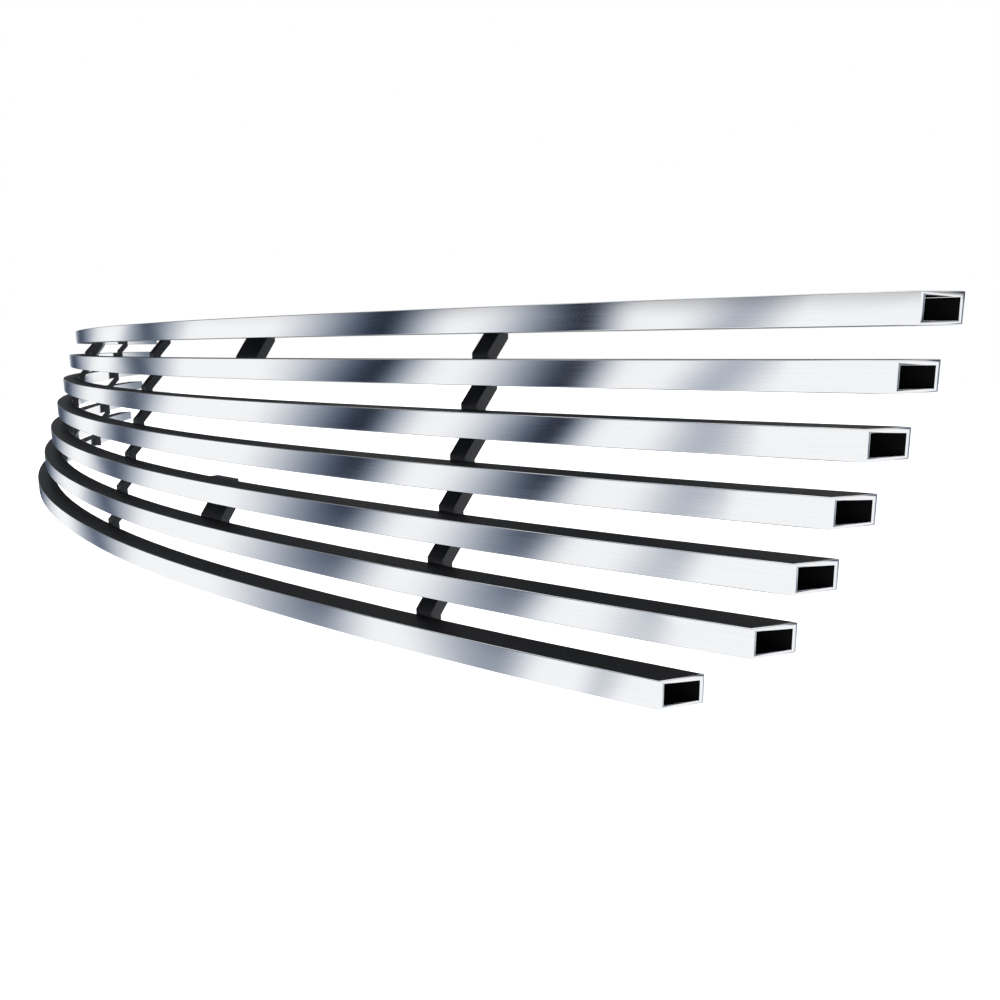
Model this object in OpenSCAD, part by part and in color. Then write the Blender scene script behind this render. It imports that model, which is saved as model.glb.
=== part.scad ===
// Billet bumper grille insert: seven bowed rectangular tubes, stacked with a forward rake,
// welded to four bent straps and four mounting plates. The upper plates carry weld studs, and
// the lower plates are tapped.
// Front is -Y, up is +Z. The origin is the middle of the grille's bounding box.

/* [Bars] */
// Height from the top of one bar to the top of the next
bar_pitch = 19; // [18:0.5:21]
// Height of a bar
bar_h = 9.6; // [9.4:0.1:10]
// Depth of a bar, front face to rear face
bar_d = 12; // [11:1:13]
// Wall thickness of the tube
bar_wall = 1.4; // [1:0.1:2]

/* [Bow] */
// Radius of the top bar's front face over the middle
middle_r = 1035; // [1015:20:1035]
// Radius over the shoulders, either side of the middle
shoulder_r = 864; // [864:20:884]
// Radius out to the ends
outer_r = 1440; // [1400:40:1480]
// Angle of the middle arc, from the centre line to where the shoulder starts
middle_angle = 8.4; // [8.4:0.2:8.6]
// Angle each shoulder arc turns through
shoulder_angle = 8.8; // [8.6:0.2:8.8]

/* [Rake] */
// Growth in radius from one bar to the bar below it
bar_grow = 3.6; // [3.4:0.2:3.8]
// Forward step from one bar to the bar below it
bar_step = 2.8; // [2.6:0.2:3]

/* [Ends] */
// Half width of the top bar at its front corners
half_w = 519; // [500:1:530]
// Angle of the end cut to the fore and aft line
end_angle = 15.5; // [5:0.5:20]
// How much shorter each lower bar is at each end
end_taper = 0.7; // [0:0.1:1.5]
// How fast that shortening grows down the stack
end_curve = 0.56; // [0:0.02:0.8]
// Extra shortening of the bottom bar
corner_cut = 13; // [0:1:20]

/* [Straps] */
// Arc length from the centre line to an inner strap
inner_arc = 132; // [126:1:138]
// Arc length from the centre line to an outer strap
outer_arc = 392; // [384:1:396]
// Angle an outer strap is turned away from square to its bars
outer_turn = 10; // [0:0.5:11]
// Width of an inner strap
inner_w = 7; // [6:0.5:10]
// Thickness of an inner strap
inner_t = 4; // [3:0.25:5]
// Width of an outer strap
outer_w = 8.5; // [6:0.5:10]
// Thickness of an outer strap
outer_t = 5; // [4:0.25:6]
// Straight length of a strap above each bar it reaches
strap_lead = 2.2; // [1:0.1:3]

/* [Mounting plates] */
// Arc length from the centre line to a mounting plate
plate_arc = 245; // [235:1:255]
// Width of a mounting plate
plate_w = 18.5; // [16:0.5:22]
// Thickness of a mounting plate
plate_t = 4.5; // [3:0.25:5]
// Straight length of a mounting plate above its lower bar
plate_lead = 0.6; // [0.4:0.1:2]

/* [Studs] */
// Diameter of a weld stud
stud_d = 6; // [5:1:8]
// Reach of a stud's tip behind the bar it is next to
stud_len = 24; // [18:1:30]
// Diameter of the collar that welds a stud to its plate
collar_d = 8.4; // [8.2:0.2:9]
// Reach of the collar's flat face behind the bar
collar_len = 6.2; // [6.2:0.1:8]

/* [Tapped holes] */
// Tapping diameter of the hole in each lower plate
tap_d = 5; // [4:0.1:5.4]

/* [Hidden] */
$fn = 1440;

silver = "#c9ced6";
black = "#1b1c1f";
zinc = "#a8abad";

last_bar = 6;
upper_plate_bars = [0, 1];
lower_plate_bars = [4, 5];
stud_bar = 0;
tapped_bar = 5;
seat = 0.1;
stud_chamfer = 0.8;
stud_fn = 96;
far = 60;

// The bow is three tangent arcs a side. Each entry is [radius, start angle, end angle, centre].
shoulder_end = middle_angle + shoulder_angle;
outer_end = 30;
middle_len = arc_len(middle_r, middle_angle);
shoulder_len = arc_len(shoulder_r, shoulder_angle);
middle_c = [0, middle_r];
shoulder_c = middle_c + (middle_r - shoulder_r) * outward(middle_angle);
outer_c = shoulder_c + (shoulder_r - outer_r) * outward(shoulder_end);
ARCS = [
    [middle_r, -middle_angle, middle_angle, middle_c],
    [shoulder_r, middle_angle, shoulder_end, shoulder_c],
    [outer_r, shoulder_end, outer_end, outer_c]
];
MIDDLE = 0;
SHOULDER = 1;
OUTER = 2;

// Bounding box of the grille: the bottom bar leads, the top bar's ends trail.
front_y = -last_bar * (bar_grow + bar_step);
top_end = end_corner(0);
rear_y = top_end[1] + end_cut_len(0) * cos(end_angle);
total_h = last_bar * bar_pitch + bar_h;
origin_y = (front_y + rear_y) / 2;
origin_z = total_h / 2;

function deg(radians) = radians * 180 / PI;
function arc_len(radius, angle) = radius * angle * PI / 180;
function dot(a, b) = a[0] * b[0] + a[1] * b[1];

// Unit vector from an arc's centre to its front face, at an angle from the centre line
function outward(a) = [sin(a), -cos(a)];

// Centre and front radius of one arc of one bar
function arc_c(arc, bar) = ARCS[arc][3] - [0, bar_step * bar];
function arc_r(arc, bar) = ARCS[arc][0] + bar_grow * bar;

// Angle on the top bar of a point at an arc length from the centre line
function arc_angle(arc, len) = arc == MIDDLE
    ? deg(len / middle_r)
    : arc == SHOULDER
        ? middle_angle + deg((len - middle_len) / shoulder_r)
        : shoulder_end + deg((len - middle_len - shoulder_len) / outer_r);

// How far the next bar down stands forward, along the face's own normal
function lean(a) = bar_grow + bar_step * cos(a);

function bar_top(bar) = -bar * bar_pitch;
function bar_foot(bar) = bar_top(bar) - bar_h;

// Half width of a bar at its front corners
function end_x(bar) = half_w - end_taper * bar - end_curve * bar * bar
    - (bar == last_bar ? corner_cut : 0);
function end_a(bar) = asin((end_x(bar) - arc_c(OUTER, bar)[0]) / arc_r(OUTER, bar));
function end_corner(bar) = arc_c(OUTER, bar) + arc_r(OUTER, bar) * outward(end_a(bar));

// Length of the slanted end cut, where a line from the corner meets the rear face
function end_cut_len(bar) =
    let (w = arc_r(OUTER, bar) * outward(end_a(bar)))
    let (along = dot(w, [sin(end_angle), cos(end_angle)]))
    -along - sqrt(along * along - 2 * arc_r(OUTER, bar) * bar_d + bar_d * bar_d);

// Distance of a stud from the centre line, on the middle of its plate's rear face
function stud_x(bar) =
    let (a = arc_angle(SHOULDER, plate_arc))
    let (r = arc_r(SHOULDER, 0) - bar_d - plate_t + lean(a) * bar)
    round(10 * (arc_c(SHOULDER, 0)[0] + r * sin(a))) / 10;

// Y of a bar's rear face at a distance from the centre line, over the shoulder
function rear_face_y(bar, x) =
    let (r = arc_r(SHOULDER, bar) - bar_d)
    let (c = arc_c(SHOULDER, bar))
    c[1] - sqrt(r * r - pow(x - c[0], 2));

// Moves the top bar's front corner frame so that the bounding box is centred
module centred() {
    translate([0, -origin_y, origin_z]) children();
}

module both_sides() {
    children();
    mirror([1, 0, 0]) children();
}

// A rectangle swept along one arc of a bar, inset from the bar's outline. The arc's centre is
// reached in whole millimetres first, then the rest, so that neighbouring arcs meet exactly.
module swept(arc, bar, inset, a0, a1) {
    c = arc_c(arc, bar);
    whole = [round(c[0]), round(c[1])];
    translate(whole)
        translate(c - whole)
            rotate_extrude(start = a0 - 90, angle = a1 - a0)
                translate([arc_r(arc, bar) - bar_d + inset, bar_foot(bar) + inset])
                    square([bar_d - 2 * inset, bar_h - 2 * inset]);
}

// The whole bow of a bar, past both ends
module bow(bar, inset) {
    swept(MIDDLE, bar, inset, ARCS[MIDDLE][1], ARCS[MIDDLE][2]);
    both_sides() {
        swept(SHOULDER, bar, inset, ARCS[SHOULDER][1], ARCS[SHOULDER][2]);
        swept(OUTER, bar, inset, ARCS[OUTER][1], ARCS[OUTER][2]);
    }
}

// Everything beyond the slanted end cut of a bar, on the right
module beyond_end(bar) {
    corner = end_corner(bar);
    translate([corner[0], corner[1], bar_foot(bar) - 1])
        rotate([0, 0, -end_angle])
            translate([0, -far, 0])
                cube([3 * far, 3 * far, bar_h + 2]);
}

module bar(number) {
    color(silver)
        centred()
            difference() {
                bow(number, 0);
                bow(number, bar_wall);
                both_sides() beyond_end(number);
            }
}

// Side view of a bent strip that seats on the rear faces of a run of bars: x is rearward, y is up.
// Behind each bar it is upright, and between bars it slants forward to the bar below.
// Its front is drawn a little into the bars, which are then cut out of it, and its two ends
// stop as little short of the outer edges of the first and last bar.
function strip_front(first, last, lead, step, start) = [
    for (bar = [first : last]) each [
        [start - step * bar, bar_top(bar) + (bar == first ? -seat : lead)],
        [start - step * bar, bar_foot(bar) + (bar == last ? seat : -seat)]
    ]
];

// The rear line is the front line moved back by the thickness, with its bends lowered to suit
function strip_rear(front, t, drop) = [
    for (n = [len(front) - 1 : -1 : 0])
        front[n] + [t, n == 0 || n == len(front) - 1 ? 0 : -drop]
];

// Stands a side view up on the top bar's front face, at an arc length from the centre line
module side_view(arc, len, turn = 0) {
    a = arc_angle(arc, len);
    base = arc_c(arc, 0) + arc_r(arc, 0) * outward(a);
    translate([base[0], base[1], 0])
        rotate([0, 0, a - turn])
            rotate([90, 0, 90])
                children();
}

module strip(arc, len, first, last, w, t, lead, turn = 0) {
    a = arc_angle(arc, len);
    base = arc_c(arc, 0) + arc_r(arc, 0) * outward(a);
    step = lean(a) / cos(turn);
    depth = bar_d / cos(turn);
    into = seat + w / 2 * tan(turn);
    slant = atan(step / (bar_pitch - bar_h - lead - seat));
    trim = deg(0.75 * w / arc_r(arc, 0));
    front = strip_front(first, last, lead, step, depth - into);
    rear = strip_rear(front, t + seat, t * tan(slant / 2));
    difference() {
        side_view(arc, len, turn)
            translate([0, 0, -w / 2])
                linear_extrude(w)
                    polygon(concat(front, rear));
        for (bar = [first : last])
            let (v = base + (step * bar - depth) * outward(a - turn) - arc_c(arc, bar))
            let (mid = atan2(v[0], -v[1]))
                swept(arc, bar, 0, mid - trim, mid + trim);
    }
}

module strap_inner() {
    color(black)
        centred()
            strip(MIDDLE, inner_arc, 0, last_bar, inner_w, inner_t, strap_lead);
}

module strap_outer() {
    color(black)
        centred()
            strip(OUTER, outer_arc, 0, last_bar, outer_w, outer_t, strap_lead, outer_turn);
}

module plate_strip(bars) {
    strip(SHOULDER, plate_arc, bars[0], bars[1], plate_w, plate_t, plate_lead);
}

module plate_upper() {
    color(black)
        centred()
            plate_strip(upper_plate_bars);
}

// A lower plate has a tapped hole square through it, blind against the bar it seats on
module plate_lower() {
    seat_x = bar_d - lean(arc_angle(SHOULDER, plate_arc)) * tapped_bar;
    color(black)
        centred()
            difference() {
                plate_strip(lower_plate_bars);
                side_view(SHOULDER, plate_arc)
                    translate([seat_x - 1, bar_foot(tapped_bar) + bar_h / 2, 0])
                        rotate([0, 90, 0])
                            cylinder(d = tap_d, h = plate_t + 2, $fn = stud_fn);
            }
}

// A weld stud with a chamfered tip. Its collar ends on the plate's slanted rear face.
module stud() {
    x = stud_x(stud_bar);
    tip = stud_len - stud_chamfer;
    difference() {
        translate([x, rear_face_y(stud_bar, x), bar_foot(stud_bar) + bar_h / 2])
            rotate([-90, 0, 0]) {
                translate([0, 0, plate_t / 2])
                    cylinder(d = collar_d, h = collar_len - plate_t / 2, $fn = stud_fn);
                translate([0, 0, collar_len])
                    cylinder(d = stud_d, h = tip - collar_len, $fn = stud_fn);
                translate([0, 0, tip])
                    cylinder(d1 = stud_d, d2 = stud_d - 2 * stud_chamfer, h = stud_chamfer, $fn = stud_fn);
            }
        plate_strip(upper_plate_bars);
    }
}

module studs() {
    color(zinc)
        centred()
            both_sides() stud();
}

bar(0);  // bar_1_top
bar(1);  // bar_2
bar(2);  // bar_3
bar(3);  // bar_4
bar(4);  // bar_5
bar(5);  // bar_6
bar(last_bar);  // bar_7_bottom
mirror([1, 0, 0]) strap_outer();  // strap_outer_left
mirror([1, 0, 0]) strap_inner();  // strap_inner_left
strap_inner();  // strap_inner_right
strap_outer();  // strap_outer_right
mirror([1, 0, 0]) plate_upper();  // plate_upper_left
plate_upper();  // plate_upper_right
mirror([1, 0, 0]) plate_lower();  // plate_lower_left
plate_lower();  // plate_lower_right
studs();  // studs_upper
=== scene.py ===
"""Looks for the bowed bumper grille insert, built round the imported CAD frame."""
import math

import bpy
from mathutils import Matrix, Vector


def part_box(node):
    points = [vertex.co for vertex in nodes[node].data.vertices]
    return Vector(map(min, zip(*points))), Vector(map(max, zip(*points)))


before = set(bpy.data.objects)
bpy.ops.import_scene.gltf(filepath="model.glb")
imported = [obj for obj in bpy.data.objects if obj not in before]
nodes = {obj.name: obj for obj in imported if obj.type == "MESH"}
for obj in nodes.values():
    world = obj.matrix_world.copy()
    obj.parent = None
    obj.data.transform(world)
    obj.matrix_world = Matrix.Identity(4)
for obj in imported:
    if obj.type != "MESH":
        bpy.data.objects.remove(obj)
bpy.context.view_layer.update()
MM = 0.001

BARS = ["bar_1_top", "bar_2", "bar_3", "bar_4", "bar_5", "bar_6", "bar_7_bottom"]
STRAPS = ["strap_outer_left", "strap_inner_left", "strap_inner_right", "strap_outer_right"]
PLATES = ["plate_upper_left", "plate_upper_right", "plate_lower_left", "plate_lower_right"]
BAR_WALL = 1.4 * MM

WELD_REACH = 0.001 * MM
BAR_EDGE = 0.35 * MM
STRIP_EDGE = 0.4 * MM
SHARP_ANGLE = 50            # degrees between two faces, above which their edge is rounded
KEEP_MATERIAL = -1          # a bevel takes its material from the faces beside it
# The third slot carries painted shade: the near-black colour put inside the tube bores.
METAL_SLOT, BLACK_SLOT, BORE_SHADE_SLOT = range(3)


# ---------------------------------------------------------------- camera
CAMERA_PLACE = (0.6463, -0.1482, 0.0482)
CAMERA_TURN = (55.86, 10.83, -0.57)     # azimuth, look down and roll, in degrees
LENS = 29.35
SENSOR = 36
CLIP_START = 0.01


def make_camera():
    """Stands near the grille's right end and looks along it, a little down."""
    azimuth, look_down, roll = (math.radians(turn) for turn in CAMERA_TURN)
    forward = Vector((
        -math.sin(azimuth) * math.cos(look_down),
        math.cos(azimuth) * math.cos(look_down),
        -math.sin(look_down),
    ))
    right = Vector((math.cos(azimuth), math.sin(azimuth), 0))
    up = right.cross(forward)
    turned_right = right * math.cos(roll) + up * math.sin(roll)
    turned_up = up * math.cos(roll) - right * math.sin(roll)
    data = bpy.data.cameras.new("camera")
    data.lens = LENS
    data.sensor_width = SENSOR
    data.clip_start = CLIP_START
    camera = bpy.data.objects.new("camera", data)
    camera.matrix_world = Matrix((
        (turned_right.x, turned_up.x, -forward.x, CAMERA_PLACE[0]),
        (turned_right.y, turned_up.y, -forward.y, CAMERA_PLACE[1]),
        (turned_right.z, turned_up.z, -forward.z, CAMERA_PLACE[2]),
        (0, 0, 0, 1),
    ))
    bpy.context.scene.collection.objects.link(camera)
    bpy.context.scene.camera = camera


make_camera()


# ---------------------------------------------------------------- node helpers
class Tree:
    """Short calls for building a node tree."""

    def __init__(self, tree):
        self.tree = tree
        tree.nodes.clear()

    def add(self, kind, **settings):
        node = self.tree.nodes.new(kind)
        for name, value in settings.items():
            setattr(node, name, value)
        return node

    def link(self, source, target):
        self.tree.links.new(source, target)

    def put(self, value, socket):
        """Links a socket, or sets a number on it."""
        if isinstance(value, bpy.types.NodeSocket):
            self.link(value, socket)
        else:
            socket.default_value = value

    def math(self, operation, a, b=0.0, c=0.0):
        node = self.add("ShaderNodeMath", operation=operation)
        for value, socket in zip((a, b, c), node.inputs):
            self.put(value, socket)
        return node.outputs[0]

    def step(self, value, low, high, to_low=0.0, to_high=1.0):
        """A smooth step from to_low to to_high as value goes from low to high."""
        node = self.add("ShaderNodeMapRange", interpolation_type="SMOOTHSTEP")
        self.put(value, node.inputs[0])
        for number, socket in zip((low, high, to_low, to_high), node.inputs[1:5]):
            self.put(number, socket)
        return node.outputs[0]

    def mix(self, factor, a, b):
        node = self.add("ShaderNodeMix", data_type="RGBA")
        self.put(factor, node.inputs[0])
        self.put(a, node.inputs[6])
        self.put(b, node.inputs[7])
        return node.outputs[2]

    def noise(self, position, scale, stretch=(1, 1, 1), detail=3.0):
        mapping = self.add("ShaderNodeMapping")
        mapping.inputs["Scale"].default_value = stretch
        self.link(position, mapping.inputs["Vector"])
        node = self.add("ShaderNodeTexNoise")
        node.inputs["Scale"].default_value = scale
        node.inputs["Detail"].default_value = detail
        self.link(mapping.outputs[0], node.inputs["Vector"])
        return node.outputs["Fac"]

    def bump(self, height, strength, distance):
        node = self.add("ShaderNodeBump")
        node.inputs["Strength"].default_value = strength
        node.inputs["Distance"].default_value = distance
        self.link(height, node.inputs["Height"])
        return node.outputs[0]


def new_material(name):
    material = bpy.data.materials.new(name)
    material.use_nodes = True
    tree = Tree(material.node_tree)
    shader = tree.add("ShaderNodeBsdfPrincipled")
    output = tree.add("ShaderNodeOutputMaterial")
    tree.link(shader.outputs[0], output.inputs[0])
    position = tree.add("ShaderNodeTexCoord").outputs["Object"]
    return material, tree, shader, position


# ---------------------------------------------------------------- materials
def brushed_metal():
    """Bright metal, brushed along the bar: fine faint lines run with the length."""
    material, t, shader, position = new_material("brushed_metal")
    lines = t.noise(position, 40, (1, 1, 120), 3)
    cloud = t.noise(position, 12, (1, 1, 3), 2)
    tone = t.step(lines, 0.35, 0.65)
    t.put(t.mix(tone, (0.90, 0.91, 0.93, 1), (0.94, 0.95, 0.965, 1)), shader.inputs["Base Color"])
    brushed = t.step(lines, 0.3, 0.7, 0.07, 0.09)
    uneven = t.step(cloud, 0.3, 0.7, -0.01, 0.01)
    t.put(t.math("ADD", brushed, uneven), shader.inputs["Roughness"])
    shader.inputs["Metallic"].default_value = 1.0
    t.put(t.bump(lines, 0.012, 0.0001), shader.inputs["Normal"])
    return material


def black_finish(name, dark, light, rough, specular):
    """Black coating with a fine grain, between two close tones."""
    material, t, shader, position = new_material(name)
    cloud = t.noise(position, 30, (1, 1, 1), 3)
    grain = t.noise(position, 900, (1, 1, 1), 2)
    t.put(t.mix(cloud, (*dark, 1), (*light, 1)), shader.inputs["Base Color"])
    t.put(t.step(grain, 0.3, 0.7, rough - 0.06, rough + 0.06), shader.inputs["Roughness"])
    shader.inputs["Specular IOR Level"].default_value = specular
    t.put(t.bump(grain, 0.12, 0.0001), shader.inputs["Normal"])
    return material


def bore_painted_shade():
    """Painted shade for the unlit inside of the tubes: a near-black colour stands in for the shade
    in the bores.
    """
    material, t, shader, position = new_material("bore_painted_shade")
    cloud = t.noise(position, 200, (1, 1, 1), 3)
    # Painted shade: both tones are far darker than the black coating and stand in for the unlit
    # bore.
    dark, light = (0.002, 0.002, 0.002, 1), (0.004, 0.004, 0.005, 1)
    t.put(t.mix(cloud, dark, light), shader.inputs["Base Color"])
    t.put(t.step(cloud, 0.3, 0.7, 0.75, 0.9), shader.inputs["Roughness"])
    shader.inputs["Specular IOR Level"].default_value = 0.05
    return material


def zinc_plate():
    """Dull zinc plating with small clouds in it."""
    material, t, shader, position = new_material("zinc_plate")
    cloud = t.noise(position, 300, (1, 1, 1), 4)
    t.put(t.mix(cloud, (0.50, 0.50, 0.48, 1), (0.66, 0.66, 0.64, 1)), shader.inputs["Base Color"])
    t.put(t.step(cloud, 0.3, 0.7, 0.28, 0.45), shader.inputs["Roughness"])
    shader.inputs["Metallic"].default_value = 1.0
    t.put(t.bump(cloud, 0.1, 0.0001), shader.inputs["Normal"])
    return material


METAL = brushed_metal()
BAR_BLACK = black_finish(
    "bar_black", dark=(0.014, 0.0145, 0.016), light=(0.022, 0.0225, 0.024), rough=0.5, specular=0.25
)
STRAP_BLACK = black_finish(
    "strap_black", dark=(0.011, 0.012, 0.015), light=(0.018, 0.02, 0.025), rough=0.38, specular=0.45
)
# Painted shade for the inside of the tube bores.
BORE_SHADE = bore_painted_shade()
ZINC = zinc_plate()


# ---------------------------------------------------------------- CAD nodes
def finish_edges(node, width, material_index=KEEP_MATERIAL):
    """Rounds the sharp edges slightly and shades the swept faces smoothly."""
    weld = node.modifiers.new("weld", "WELD")
    weld.merge_threshold = WELD_REACH
    bevel = node.modifiers.new("edges", "BEVEL")
    bevel.width = width
    bevel.segments = 2
    bevel.limit_method = "ANGLE"
    bevel.angle_limit = math.radians(SHARP_ANGLE)
    bevel.material = material_index
    normals = node.modifiers.new("normals", "WEIGHTED_NORMAL")
    normals.weight = 100


def dress_bar(node):
    """Bright metal front, rear and cut ends, black top and bottom, and painted shade inside: a
    near-black colour in the bores.
    """
    low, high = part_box(node.name)
    data = node.data
    data.materials.clear()
    for material in (METAL, BAR_BLACK, BORE_SHADE):
        data.materials.append(material)
    for face in data.polygons:
        heights = [data.vertices[v].co.z for v in face.vertices]
        if min(heights) > low.z + BAR_WALL / 2 and max(heights) < high.z - BAR_WALL / 2:
            # Faces inside the walls get the painted shade of the bore.
            face.material_index = BORE_SHADE_SLOT
        elif abs(face.normal.z) > 0.5:
            face.material_index = BLACK_SLOT
        else:
            face.material_index = METAL_SLOT
    finish_edges(node, BAR_EDGE, METAL_SLOT)


def dress(node, material):
    node.data.materials.clear()
    node.data.materials.append(material)


for name in BARS:
    dress_bar(nodes[name])
for name in STRAPS + PLATES:
    dress(nodes[name], STRAP_BLACK)
    finish_edges(nodes[name], STRIP_EDGE)
dress(nodes["studs_upper"], ZINC)


# ---------------------------------------------------------------- studio
# Grey panels standing round the studio: azimuth of the middle, half widths on its two sides, and
# depth. Azimuth 0 is straight out from the grille's front, and grows towards +X.
PANELS = [
    (-135, 14, 14, 0.80), (-108, 10, 12, 0.60), (-88, 12, 14, 0.88), (-63, 9, 11, 0.86),
    (-24, 15, 7, 0.965), (-3.5, 12, 5, 0.975), (11, 6, 6, 0.45), (110, 25, 30, 0.85),
]
PANEL_LEAN = 0.30           # degrees of azimuth for each degree of height
TINT = (1.30, 1.18, 1.0)    # powers of the light in red, green and blue: shade goes blue-grey
WHITE = 0.97

# Each of these is a smooth step over height, in degrees: from, to, value below, value above
LOW_FADE = (-26.0, -6.0, 0.58, 1.0)     # how much of the panels' depth is left low down
CEILING = (1.0, 8.0, 1.0, 0.30)
OVERHEAD = (35.0, 55.0, 0.0, 0.9)

FLOOR_SIZE = 12.0
FLOOR_LEVEL = -0.6
FLOOR_GLOW = 1.1


def make_world():
    """White light with leaning blue-grey panels, a dark ceiling and a lamp overhead."""
    world = bpy.data.worlds.new("studio")
    bpy.context.scene.world = world
    world.use_nodes = True
    t = Tree(world.node_tree)
    direction = t.add("ShaderNodeTexCoord").outputs["Generated"]
    split = t.add("ShaderNodeSeparateXYZ")
    t.link(direction, split.inputs[0])
    x, y, z = split.outputs
    azimuth = t.math("DEGREES", t.math("ARCTAN2", x, t.math("MULTIPLY", y, -1.0)))
    height = t.math("DEGREES", t.math("ARCSINE", z))
    leaned = t.math("SUBTRACT", azimuth, t.math("MULTIPLY", height, PANEL_LEAN))
    light = 1.0
    for middle, before, after, depth in PANELS:
        off = t.math("SUBTRACT", leaned, float(middle))
        dark = 1.0 - depth
        light = t.math("MULTIPLY", light, t.step(off, -float(before), 0.0, 1.0, dark))
        light = t.math("MULTIPLY", light, t.step(off, 0.0, float(after), 1.0, 1.0 / dark))
    fade = t.step(height, *LOW_FADE)
    light = t.math("SUBTRACT", 1.0, t.math("MULTIPLY", fade, t.math("SUBTRACT", 1.0, light)))
    ceiling = t.math("ADD", t.step(height, *CEILING), t.step(height, *OVERHEAD))
    bright = t.math("MULTIPLY", ceiling, WHITE)
    colour = t.add("ShaderNodeCombineColor")
    for power, socket in zip(TINT, colour.inputs):
        t.put(t.math("MULTIPLY", bright, t.math("POWER", light, power)), socket)
    seen = t.add("ShaderNodeLightPath").outputs["Is Camera Ray"]
    shade = t.mix(seen, colour.outputs[0], (1, 1, 1, 1))
    background = t.add("ShaderNodeBackground")
    t.link(shade, background.inputs[0])
    output = t.add("ShaderNodeOutputWorld")
    t.link(background.outputs[0], output.inputs[0])


def make_floor():
    """A wide pale plane that stays out of the metal's reflections."""
    data = bpy.data.meshes.new("floor")
    signs = [(-1, -1), (1, -1), (1, 1), (-1, 1)]
    corners = [(x * FLOOR_SIZE, y * FLOOR_SIZE, FLOOR_LEVEL) for x, y in signs]
    data.from_pydata(corners, [], [(0, 1, 2, 3)])
    floor = bpy.data.objects.new("floor", data)
    bpy.context.scene.collection.objects.link(floor)
    material, t, shader, position = new_material("pale_floor")
    cloud = t.noise(position, 2, (1, 1, 1), 2)
    dark, light = (0.93, 0.93, 0.93, 1), (0.95, 0.95, 0.95, 1)
    t.put(t.mix(cloud, dark, light), shader.inputs["Base Color"])
    shader.inputs["Roughness"].default_value = 0.9
    shader.inputs["Emission Color"].default_value = (1, 1, 1, 1)
    shader.inputs["Emission Strength"].default_value = FLOOR_GLOW
    data.materials.append(material)
    floor.visible_glossy = False


make_world()
make_floor()
bpy.context.scene.view_settings.view_transform = "Standard"
